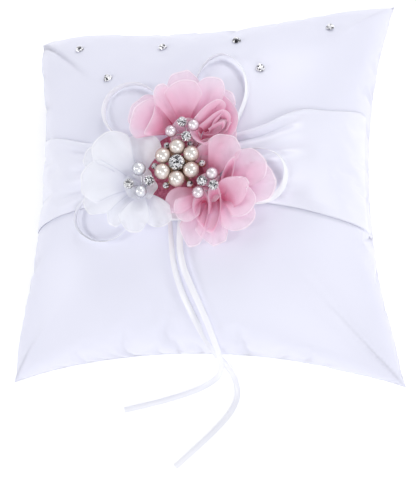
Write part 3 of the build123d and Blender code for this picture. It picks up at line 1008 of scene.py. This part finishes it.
# %% Pink flower at the top
TOP_PINK = {
    5: [dict(root=(-4, 12, 75), heading=158, length=21, half_width=12, rise=(34, -16), wrap=(50, 40),
             lean=6, wave=(1.0, 1.8, 0.6)),
        dict(root=(-4, 13, 74), heading=148, length=24, half_width=11, rise=(20, -16), wrap=(20, 20),
             lean=4, wave=(1.2, 2.2, 1.4))],
    4: [dict(rim=[(-7, 10, 79), (-13, 8, 80.5), (-15.5, 9, 82), (-12.5, 13, 83.5), (-10, 19, 83.5),
                  (-10, 25, 82.5), (-9, 30.5, 81), (-6, 33, 79.5), (-4, 30, 78.5)], root=(-2, 13, 75),
             foot=0.2, flare=0.4),
        dict(root=(-1, 14, 75), heading=112, length=22, half_width=6, rise=(46, -2), wrap=(40, 30),
             lean=-10, wave=(0.5, 1.4, 0.2))],
    3: [dict(root=(3.5, 9, 74.5), heading=88, length=9, half_width=7, rise=(48, 6), wrap=(60, 40),
             wave=(0.6, 2.0, 0)),
        dict(root=(3.5, 9, 74), heading=200, length=8, half_width=5, rise=(34, 0), wrap=(40, 40),
             wave=(0.5, 2.0, 0)),
        dict(root=(3.5, 9, 74), heading=-30, length=8, half_width=5, rise=(34, 0), wrap=(40, 40),
             wave=(0.5, 2.0, 1)),
        dict(root=(2.5, 15, 76), heading=84, length=21, half_width=10.5, rise=(46, -14), wrap=(70, 36),
             lean=2, wave=(0.6, 1.5, 0.4)),
        dict(root=(3, 14, 74), heading=94, length=28, half_width=10, rise=(24, -14), wrap=(10, 10),
             wave=(1.3, 2.2, 0.0))],
    2: [dict(root=(7, 14, 75), heading=58, length=25, half_width=8.5, rise=(34, -10), wrap=(50, 30),
             lean=-6, wave=(1.1, 2.0, 0.5)),
        dict(root=(7, 13, 74), heading=40, length=24, half_width=9, rise=(24, -14), wrap=(30, 20), lean=-6,
             wave=(1.1, 2.4, 1.5))],
    1: [dict(rim=[(15.5, 9, 80), (17.5, 12.5, 82), (21, 16, 83), (23, 19, 83), (20, 22.5, 83),
                  (15, 19.5, 84), (10, 14, 84.5), (7.5, 9.5, 84.5), (9, 5, 83.5), (13, 2.5, 82.5),
                  (19, 3, 81.5), (24, 5, 81), (27, 10, 80.5), (27.5, 16, 80.5), (25, 21, 81),
                  (21, 25, 81.5)], root=(12, 9, 75), foot=0.45, flare=1.1),
        dict(rim=[(11, 11, 82), (14.5, 13, 83), (18.5, 16, 83.5), (22, 17.5, 83.5), (25, 15, 83),
                  (24.5, 10.5, 82), (21.5, 7, 81.5), (16, 5.5, 81.5)], root=(14, 9, 75.5), foot=0.6,
             flare=0.5),
        dict(rim=[(12, 8, 80), (15, 7, 81), (19, 7.5, 81), (22.5, 10, 81.5), (22.5, 13, 82), (19, 12, 82),
                  (15, 9.5, 81.5)], root=(13, 9, 75.5), foot=0.5, flare=0.2),
        dict(root=(11, 6, 74), heading=35, length=17, half_width=11, rise=(14, -4), wrap=(20, 10),
             wave=(0.5, 1.5, 0.0)),
        dict(root=(11, 6, 74.5), heading=8, length=17, half_width=9, rise=(28, -14), wrap=(50, 50), lean=0,
             wave=(1.0, 2.2, 0.7))],
}

# %% [markdown]
# ## Pink flower on the right
#
# This one opens flatter.  Its petals are folded lengthwise into pointed ovals, the lower
# ones hang over the sash, and the right side is a single sheer layer.

# %% Pink flower on the right
RIGHT_PINK = {
    5: [dict(rim=[(8, -4, 80), (9.5, 0, 81), (14, 3, 81), (19, 3.5, 80.5), (23, 2.5, 80)],
             root=(14, -9, 75), foot=0.3, flare=0.8),
        dict(root=(16, -11, 75), heading=58, length=21, half_width=9.5, rise=(40, -16), wrap=(60, 30),
             lean=-4, wave=(1.3, 2.0, 0.9)),
        dict(root=(14, -11, 74), heading=82, length=19, half_width=8, rise=(30, -20), wrap=(40, 30), lean=4,
             wave=(1.2, 2.0, 0.1))],
    4: [dict(rim=[(21, -22, 79), (21.5, -14, 82), (24, -8.5, 84), (28, -5, 84.5), (27.5, -10.5, 84),
                  (25.5, -16.5, 82.5), (23, -22, 80)], root=(19, -18, 75), foot=0.4, flare=0.4),
        dict(root=(19, -16, 74.5), heading=26, length=25, half_width=11, rise=(30, -14), wrap=(20, 20),
             wave=(1.4, 2.2, 0.4)),
        dict(root=(18, -16, 74), heading=0, length=28, half_width=12, rise=(24, -18), wrap=(10, 16),
             wave=(1.5, 2.4, 1.4))],
    3: [dict(root=(15.5, -17, 74.5), heading=-30, length=8, half_width=7, rise=(48, 6), wrap=(60, 40),
             wave=(0.6, 2.0, 0)),
        dict(root=(15.5, -17, 74), heading=100, length=8, half_width=6, rise=(36, 0), wrap=(40, 40),
             wave=(0.5, 2.0, 0)),
        dict(root=(15.5, -17, 74), heading=215, length=8, half_width=5, rise=(36, 0), wrap=(40, 40),
             wave=(0.5, 2.0, 1)),
        dict(root=(21.5, -23, 76.5), heading=28, length=16, half_width=8.5, rise=(44, 6), wrap=(90, 80),
             lean=-14, tip=0.7, wave=(0.4, 1.4, 0.8)),
        dict(root=(21, -20, 75), heading=-28, length=18, half_width=9, rise=(38, -10), wrap=(60, 50),
             lean=-6, wave=(0.8, 1.6, 0.2)),
        dict(root=(19, -20, 74.5), heading=-46, length=22, half_width=10, rise=(28, -18), wrap=(20, 24),
             wave=(1.3, 2.2, 0.6))],
    2: [dict(rim=[(13.5, -36, 78), (10.5, -32.5, 79.5), (8.5, -27, 81.5), (10, -22, 82.5),
                  (13.5, -19.5, 83), (15.3, -21.5, 83), (16.3, -26.5, 82), (15.3, -32, 80),
                  (13.3, -36.5, 78.3)], root=(12.5, -26, 75), foot=0.4, flare=0.3),
        dict(rim=[(15.3, -30, 79.5), (16.3, -25.5, 81.5), (15.7, -21.5, 83), (16.8, -19, 84),
                  (19.2, -17.7, 84.5), (21.2, -20, 84), (21.6, -26, 82), (20.2, -33, 79.5),
                  (17.5, -38.5, 77), (14.5, -37, 77.3)], root=(17.5, -26, 75), foot=0.4, flare=0.3),
        dict(root=(16, -20, 74.5), heading=-84, length=24, half_width=9, rise=(22, -40), wrap=(20, 26),
             wave=(1.4, 2.2, 0.2)),
        dict(root=(13, -19, 74), heading=-106, length=26, half_width=7.5, rise=(20, -38), wrap=(30, 26),
             wave=(1.2, 1.8, 1.1))],
    1: [dict(root=(10, -19, 75.5), heading=-150, length=18, half_width=8.5, rise=(30, -18), wrap=(40, 40),
             lean=-8, tip=0.4, wave=(0.8, 2.2, 0.5)),
        dict(root=(11, -20, 75), heading=-124, length=16, half_width=7.5, rise=(40, -16), wrap=(80, 60),
             lean=10, wave=(1.0, 1.8, 1.6))],
}

# %% [markdown]
# ## White flower
#
# The white flower is the plainest: large smooth petals that overlap in soft steps, with two
# narrow gaps that run out from the beads.

# %% White flower
WHITE = {
    1: [dict(root=(-17.5, -8, 74.5), heading=84, length=19, half_width=11.5, rise=(34, -16), wrap=(30, 24),
             lean=4, wave=(0.6, 2.0, 0.3))],
    2: [dict(root=(-20, -11, 76), heading=128, length=27, half_width=11.5, rise=(36, -14), wrap=(36, 26),
             lean=-4, wave=(0.7, 2.0, 0.6)),
        dict(root=(-20, -11, 74.5), heading=150, length=29, half_width=10, rise=(24, -16), wrap=(20, 20),
             wave=(1.0, 2.6, 1.3))],
    3: [dict(root=(-16.5, -14.5, 74.5), heading=206, length=9, half_width=8, rise=(48, 6), wrap=(60, 40),
             wave=(0.6, 2.0, 0)),
        dict(root=(-16.5, -14.5, 74), heading=90, length=9, half_width=6, rise=(36, 0), wrap=(40, 40),
             wave=(0.5, 2.0, 0)),
        dict(root=(-16.5, -14.5, 74), heading=-30, length=8, half_width=6, rise=(36, 0), wrap=(40, 40),
             wave=(0.5, 2.0, 1)),
        dict(root=(-21, -14, 76.5), heading=178, length=25, half_width=12, rise=(34, -18), wrap=(36, 34),
             lean=6, wave=(0.6, 2.2, 0.0)),
        dict(root=(-21, -15, 75.5), heading=206, length=25, half_width=10, rise=(32, -20), wrap=(30, 26),
             lean=-4, wave=(0.7, 2.2, 0.9))],
    4: [dict(root=(-19, -18, 75), heading=236, length=20, half_width=7.5, rise=(36, -24), wrap=(40, 40),
             lean=-6, wave=(0.5, 2.0, 0.4))],
    5: [dict(root=(-16, -19, 76), heading=262, length=20, half_width=8.5, rise=(36, -22), wrap=(50, 36),
             lean=6, wave=(0.5, 2.0, 0.2)),
        dict(root=(-13, -19, 75), heading=300, length=18, half_width=8, rise=(30, -24), wrap=(36, 30),
             lean=-6, wave=(0.8, 2.4, 1.0))],
}

total = 0.0
for flower, petals, material, slot in (("top_pink", TOP_PINK, PINK_CHIFFON, "pink_chiffon"),
                                       ("right_pink", RIGHT_PINK, PINK_CHIFFON, "pink_chiffon"),
                                       ("white", WHITE, WHITE_CHIFFON, "white_chiffon")):
    for number, layers in petals.items():
        total += make_petal(f"{flower}_petal_{number}", layers, material, slot)
print("chiffon in all the petals, square metres:", round(total, 5))

# %% [markdown]
# ## Narrow ribbon
#
# Four loops and two tails of 3 mm ribbon leave the knot under the flowers.  A ribbon is a
# cord to the library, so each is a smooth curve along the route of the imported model, only the
# right loop a little above it, and its flat section comes from the curve's own extrusion.
# The tilt turns the band from standing on its edge to lying flat.

# %% Ribbons
RIBBON_WIDTH, RIBBON_EDGE = 0.003, 0.0001
# route points in metres, tilt in degrees from the first end to the last, length in metres
RIBBONS = {
    "ribbon_loop_upper_left": ([
        (-0.007, 0.015, 0.0716), (-0.0095, 0.027, 0.0698), (-0.017, 0.0385, 0.067),
        (-0.028, 0.0435, 0.0648), (-0.0385, 0.040, 0.0639), (-0.0425, 0.0305, 0.0648),
        (-0.0395, 0.0205, 0.0668), (-0.031, 0.012, 0.0696), (-0.020, 0.0075, 0.0714)],
        (0, 0, 12, 30, 20, 0), 0.0929, "object"),
    "ribbon_loop_upper_right": ([
        (0.006, 0.016, 0.0714), (0.0045, 0.029, 0.0696), (0.0045, 0.042, 0.0667), (0.009, 0.053, 0.0634),
        (0.017, 0.0575, 0.0618), (0.0255, 0.0505, 0.0638), (0.030, 0.039, 0.0662), (0.0295, 0.025, 0.069),
        (0.022, 0.009, 0.0716)], (30, 15, 0, 15, 30, 25), 0.102, "object"),
    "ribbon_loop_right": ([
        (0.021, 0.001, 0.0726), (0.034, 0.0032, 0.0732), (0.045, 0.0005, 0.0722), (0.0495, -0.0075, 0.0712),
        (0.0475, -0.0165, 0.0703), (0.041, -0.022, 0.0703), (0.031, -0.022, 0.0706),
        (0.0215, -0.0155, 0.0714)], (0, 15, 30, 50, 60, 40), 0.0721, "object"),
    "ribbon_loop_lower_left": ([
        (-0.020, -0.009, 0.0716), (-0.033, -0.0115, 0.0698), (-0.045, -0.015, 0.0668),
        (-0.053, -0.0205, 0.0638), (-0.0535, -0.029, 0.0624), (-0.046, -0.036, 0.063),
        (-0.035, -0.038, 0.065), (-0.024, -0.032, 0.0678), (-0.0155, -0.0215, 0.0708)],
        (0, 10, 0, 20, 30, 10), 0.0914, "object"),
    "ribbon_tail_short": ([
        (0.0007, -0.0299, 0.0699), (-0.0003, -0.040, 0.068), (0.0009, -0.0495, 0.0654),
        (0.0044, -0.0585, 0.062), (0.008, -0.067, 0.0574), (0.011, -0.0755, 0.051),
        (0.0128, -0.0836, 0.042), (0.013, -0.0896, 0.030), (0.0109, -0.0922, 0.017),
        (0.007, -0.0956, 0.0058), (-0.002, -0.1005, 0.001), (-0.0125, -0.1044, 0.001),
        (-0.027, -0.1086, 0.001), (-0.0437, -0.1125, 0.001)], (90, 80, 60, 60, 80, 90, 90), 0.157, "bare"),
    "ribbon_tail_long": ([
        (-0.0044, -0.0299, 0.0699), (-0.004, -0.039, 0.068), (-0.0034, -0.0485, 0.0652),
        (-0.0012, -0.058, 0.0616), (0.0022, -0.067, 0.0566), (0.006, -0.0765, 0.048),
        (0.0102, -0.0856, 0.0345), (0.0122, -0.0884, 0.020), (0.0152, -0.094, 0.0065),
        (0.0172, -0.103, 0.001), (0.0142, -0.1115, 0.001), (0.0065, -0.1205, 0.001),
        (-0.004, -0.1304, 0.001), (-0.0151, -0.1403, 0.001)], (30, 50, 80, 60, 70, 90, 90), 0.1602, "bare"),
}


def make_ribbon(name, route, tilts, length, far_end):
    deselect()
    bpy.ops.curve.primitive_nurbs_path_add()
    ribbon = bpy.context.object
    ribbon.name = ribbon.data.name = name + "_satin"
    curve = ribbon.data
    curve.splines.clear()
    spline = curve.splines.new("NURBS")
    spline.points.add(len(route) - 1)
    places = np.linspace(0, len(tilts) - 1, len(route))
    for point, place, turn in zip(spline.points, route, np.interp(places, range(len(tilts)), tilts)):
        point.co = (*place, 1.0)
        point.tilt = math.radians(float(turn))
    spline.order_u = 3
    spline.use_endpoint_u = True
    curve.dimensions = "3D"
    curve.twist_mode = "Z_UP"
    curve.resolution_u = 10
    curve.extrude = RIBBON_WIDTH / 2 - RIBBON_EDGE
    curve.bevel_depth = RIBBON_EDGE
    curve.bevel_resolution = 0
    curve.use_fill_caps = True
    curve.materials.append(RIBBON_SATIN)
    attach(ribbon, "root")
    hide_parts(name)


for name, facts in RIBBONS.items():
    make_ribbon(name, *facts)
print("ribbons and their lengths:", {name: facts[2] for name, facts in RIBBONS.items()})

# %% [markdown]
# ## Pave beads and the brooch's centre
#
# A pave bead is a metal ball set all over with small stones.  An ico sphere already has even
# triangles, so each one is inset to leave a metal rim and poked up into a small pyramid,
# which is what a stone of that size looks like.

# %% Pave beads
# shares of the bead's radius: the ball under the stones, the metal between them, and their points
BALL_SHARE, GAP_SHARE, POINT_SHARE = 0.93, 0.08, 0.26
HUB_SPREAD, HUB_FLATNESS, HUB_DROP = 1.08, 0.62, 0.0008


def pave_bead(name, centre, radius, flatten, node, rows=2):
    """A ball of small stones; more rows give smaller ones, and flatten is its height share."""
    deselect()
    bpy.ops.mesh.primitive_ico_sphere_add(subdivisions=rows, radius=radius * BALL_SHARE)
    bead = bpy.context.object
    bead.name = bead.data.name = name
    bead.data.materials.append(DARK_SILVER)
    bead.data.materials.append(PAVE_STONE)
    bpy.ops.object.mode_set(mode="EDIT")
    bpy.ops.mesh.select_all(action="SELECT")
    bpy.ops.mesh.inset(thickness=radius * GAP_SHARE / rows ** 2, depth=0.0, use_individual=True)
    bead.active_material_index = 1
    bpy.ops.object.material_slot_assign()
    bpy.ops.mesh.poke(offset=radius * POINT_SHARE / rows)
    bpy.ops.object.mode_set(mode="OBJECT")
    points = read_points(bead)
    points[:, 2] *= flatten
    write_points(bead, points + np.array(centre))
    dressed(bead, None, "pave_bead", node)


pave_nodes = [name for name in nodes if "_crystal_" in name]
for name in pave_nodes:
    low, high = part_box(name)
    pave_bead(name + "_pave", (low + high) / 2, (high.x - low.x) / 2, 1.0, name)
low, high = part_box("brooch_centre_stones")
hub = (low + high) / 2
pave_bead("brooch_centre_pave", (hub.x, hub.y, low.z - HUB_DROP), (high.x - low.x) / 2 * HUB_SPREAD,
          HUB_FLATNESS, "brooch_centre_stones", 3)
print("pave beads:", len(pave_nodes) + 1)

# %% [markdown]
# ## Flower wires
#
# Each small bead stands on its own thin wire, and the wires come together in the heart of
# the flower.  A wire is a short curve with a round section, made a mesh and joined.

# %% Flower wires
WIRE_RADIUS = 0.00035
TWIST_RADIUS = 0.0006          # how far the wires stand from the middle of their bundle


def wire(points, radius):
    deselect()
    bpy.ops.curve.primitive_nurbs_path_add()
    strand = bpy.context.object
    strand.data.splines.clear()
    spline = strand.data.splines.new("NURBS")
    spline.points.add(len(points) - 1)
    for point, place in zip(spline.points, points):
        point.co = (*place, 1.0)
    spline.order_u = 3
    spline.use_endpoint_u = True
    strand.data.bevel_depth = radius
    strand.data.bevel_resolution = 2
    strand.data.resolution_u = 6
    strand.data.use_fill_caps = True
    activate(strand)
    bpy.ops.object.convert(target="MESH")
    return bpy.context.object


def make_wires(flower):
    """One wire from the heart of the flower to each of its beads, all joined."""
    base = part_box(flower + "_setting")[0].z
    beads = [name for name in nodes
             if name.startswith(flower) and ("_pearl_" in name or "_crystal_" in name)]
    places = [sum(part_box(name), Vector()) / 2 for name in beads]
    heart = sum(places, Vector()) / len(places)
    strands = []
    for number, place in enumerate(places):
        turn = math.tau * number / len(places)
        foot = (heart.x + TWIST_RADIUS * math.cos(turn), heart.y + TWIST_RADIUS * math.sin(turn), base)
        lift = foot[2] + 0.45 * (place.z - foot[2])
        strands.append(wire([foot, (*foot[:2], lift), (place.x, place.y, lift), place], WIRE_RADIUS))
    bundle = joined(flower + "_wires", strands)
    smooth(bundle)
    dressed(bundle, SILVER, "silver_wire", flower + "_setting")
    return len(strands)


wire_counts = {flower: make_wires(flower) for flower in ("top_pink", "right_pink", "white")}
print("wires:", wire_counts)

# %% [markdown]
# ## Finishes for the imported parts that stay
#
# Pearls, the brooch's plate, cup and rim stones, the felt, the knot and the loose stones
# already have their true shape, so they only get their materials.

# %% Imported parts
def finish_for(name):
    if "_pearl_" in name:
        return {"brooch": BROOCH_PEARL, "white": FLOWER_WHITE_PEARL}.get(name.split("_")[0], FLOWER_PEARL)
    if name.startswith("rhinestone"):
        return LOOSE_STONE
    if name in ("brooch_plate", "brooch_centre_cup"):
        return GOLD
    return {"felt_base": FELT, "ribbon_knot": RIBBON_SATIN, "brooch_rim_stones": PAVE_STONE}.get(name)


kept = []
for name, part in nodes.items():
    material = finish_for(name)
    if material is None:
        continue
    for slot in part.material_slots:
        slot.material = material
    kept.append(name)
print("packed parts kept:", len(kept))
